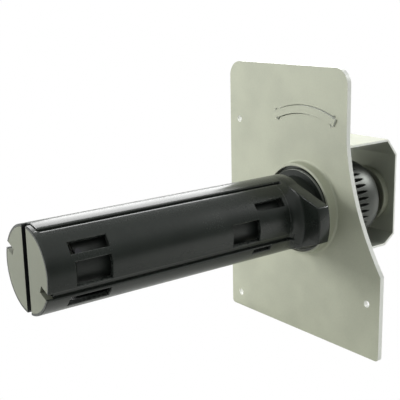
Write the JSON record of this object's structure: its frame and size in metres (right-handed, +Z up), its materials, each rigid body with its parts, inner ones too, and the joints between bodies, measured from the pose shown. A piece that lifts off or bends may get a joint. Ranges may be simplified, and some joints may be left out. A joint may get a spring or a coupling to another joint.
{
  "type": "roller shutter motor",
  "caption": "Tubular shutter motor: slotted drive sleeve with a driver lever, flat side plate with a drawn collar, strap bracket and toothed hand-override drum.",
  "frame": {"origin": "on the axis of rotation, at the shoulder where the drive sleeve meets the driver lever", "axes": "+X along the axis of rotation, from the sleeve towards the side plate and the drum; +Z up, with the plate upright; the lever points along -Y"},
  "size_m": [0.3282, 0.1727, 0.2195],
  "materials": {
    "plate_steel": "satin galvanised sheet with a fine grain",
    "shell_plastic": "glossy black moulding",
    "end_metal": "matt die-cast",
    "drum_steel": "dark oiled steel, hobbed teeth",
    "hub_casting": "black coated casting",
    "bush_plastic": "matt black",
    "dark_clip": "black oxide",
    "rubber": "matt",
    "bright_steel": "ground",
    "tube_black": "black coated drawn tube",
    "can_aluminium": "drawn can",
    "core_steel": "laminated",
    "copper": "enamelled copper",
    "shield_zinc": "die-cast",
    "bronze": "sintered bronze",
    "gear_steel": "cut and oiled",
    "natural_nylon": "natural nylon"
  },
  "bodies": {
    "frame": {"side_plate": "plate_steel", "strap_bracket": "plate_steel", "bracket_welds": "plate_steel", "collar_bush": "bush_plastic", "rear_bush": "end_metal", "crank_stud": "drum_steel", "crank_circlip": "dark_clip"},
    "crank": {"crank_pinion": "drum_steel"},
    "motor": {"toothed_drum": "drum_steel", "drum_circlip": "dark_clip", "cable_grommet": "rubber", "drive_hub": "hub_casting", "hub_screws": "bright_steel", "motor_tube": "tube_black", "stator_core": "core_steel", "stator_windings": "copper", "front_end_shield": "shield_zinc", "rear_end_shield": "shield_zinc", "front_bearing": "bronze", "rear_bearing": "bronze", "brake_housing": "core_steel", "brake_coil": "copper", "brake_spring": "bright_steel", "capacitor": "can_aluminium", "capacitor_clip": "dark_clip", "limit_switch_unit": "natural_nylon", "terminal_block": "bush_plastic", "ring_gear": "core_steel", "gearbox_end_cap": "shield_zinc", "output_bearing": "bronze", "gearbox_screws": "dark_clip"},
    "output": {"carrier_2": "gear_steel", "output_shaft": "bright_steel", "end_disc": "end_metal", "drive_lever": "shell_plastic", "front_sleeve_shell": "shell_plastic", "rear_sleeve_shell": "shell_plastic", "sleeve_bush": "bush_plastic", "limit_crown": "natural_nylon", "lever_pins": "bright_steel"},
    "rotor": {"rotor_core": "core_steel", "rotor_shaft": "bright_steel", "brake_disc": "bush_plastic", "sun_gear_1": "gear_steel"},
    "armature": {"brake_armature": "core_steel"},
    "sun_stage": {"carrier_1": "gear_steel", "sun_gear_2": "gear_steel"},
    "limit_drive": {"limit_pinion": "natural_nylon"},
    "planet_1a": {"planet_1a": "gear_steel"},
    "planet_1b": {"planet_1b": "gear_steel"},
    "planet_1c": {"planet_1c": "gear_steel"},
    "planet_2a": {"planet_2a": "gear_steel"},
    "planet_2b": {"planet_2b": "gear_steel"},
    "planet_2c": {"planet_2c": "gear_steel"}
  },
  "joints": [
    {"name": "override_turn", "type": "hinge", "parent": "frame", "child": "motor", "pos_m": [0.05, 0, 0], "axis": [1, 0, 0], "continuous": true},
    {"name": "crank_turn", "type": "hinge", "parent": "frame", "child": "crank", "pos_m": [0.05, 0.048, 0], "axis": [1, 0, 0], "continuous": true},
    {"name": "output_turn", "type": "hinge", "parent": "motor", "child": "output", "pos_m": [-0.1, 0, 0], "axis": [1, 0, 0], "continuous": true},
    {"name": "rotor_turn", "type": "hinge", "parent": "motor", "child": "rotor", "pos_m": [-0.1, 0, 0], "axis": [1, 0, 0], "continuous": true},
    {"name": "sun_stage_turn", "type": "hinge", "parent": "motor", "child": "sun_stage", "pos_m": [-0.165, 0, 0], "axis": [1, 0, 0], "continuous": true},
    {"name": "limit_turn", "type": "hinge", "parent": "motor", "child": "limit_drive", "pos_m": [0.03, 0, -0.0219], "axis": [1, 0, 0], "continuous": true},
    {"name": "planet_1a_turn", "type": "hinge", "parent": "sun_stage", "child": "planet_1a", "pos_m": [-0.156, 0.0126, 0], "axis": [1, 0, 0], "continuous": true},
    {"name": "planet_1b_turn", "type": "hinge", "parent": "sun_stage", "child": "planet_1b", "pos_m": [-0.156, -0.0063, 0.01091], "axis": [1, 0, 0], "continuous": true},
    {"name": "planet_1c_turn", "type": "hinge", "parent": "sun_stage", "child": "planet_1c", "pos_m": [-0.156, -0.0063, -0.01091], "axis": [1, 0, 0], "continuous": true},
    {"name": "planet_2a_turn", "type": "hinge", "parent": "output", "child": "planet_2a", "pos_m": [-0.172, 0.0126, 0], "axis": [1, 0, 0], "continuous": true},
    {"name": "planet_2b_turn", "type": "hinge", "parent": "output", "child": "planet_2b", "pos_m": [-0.172, -0.0063, 0.01091], "axis": [1, 0, 0], "continuous": true},
    {"name": "planet_2c_turn", "type": "hinge", "parent": "output", "child": "planet_2c", "pos_m": [-0.172, -0.0063, -0.01091], "axis": [1, 0, 0], "continuous": true},
    {"name": "brake_release", "type": "slide", "parent": "motor", "child": "armature", "axis": [1, 0, 0], "range_m": [0, 0.0006], "stiffness_N_per_m": 20000}
  ],
  "couplings": [
    {"joint": "crank_turn", "follows": "override_turn", "ratio": -2.3333},
    {"joint": "rotor_turn", "follows": "output_turn", "ratio": 16},
    {"joint": "sun_stage_turn", "follows": "output_turn", "ratio": 4},
    {"joint": "limit_turn", "follows": "output_turn", "ratio": 5.8667},
    {"joint": "planet_1a_turn", "follows": "output_turn", "ratio": -12},
    {"joint": "planet_2a_turn", "follows": "output_turn", "ratio": -3},
    {"joint": "planet_1b_turn", "follows": "output_turn", "ratio": -12},
    {"joint": "planet_2b_turn", "follows": "output_turn", "ratio": -3},
    {"joint": "planet_1c_turn", "follows": "output_turn", "ratio": -12},
    {"joint": "planet_2c_turn", "follows": "output_turn", "ratio": -3}
  ]
}
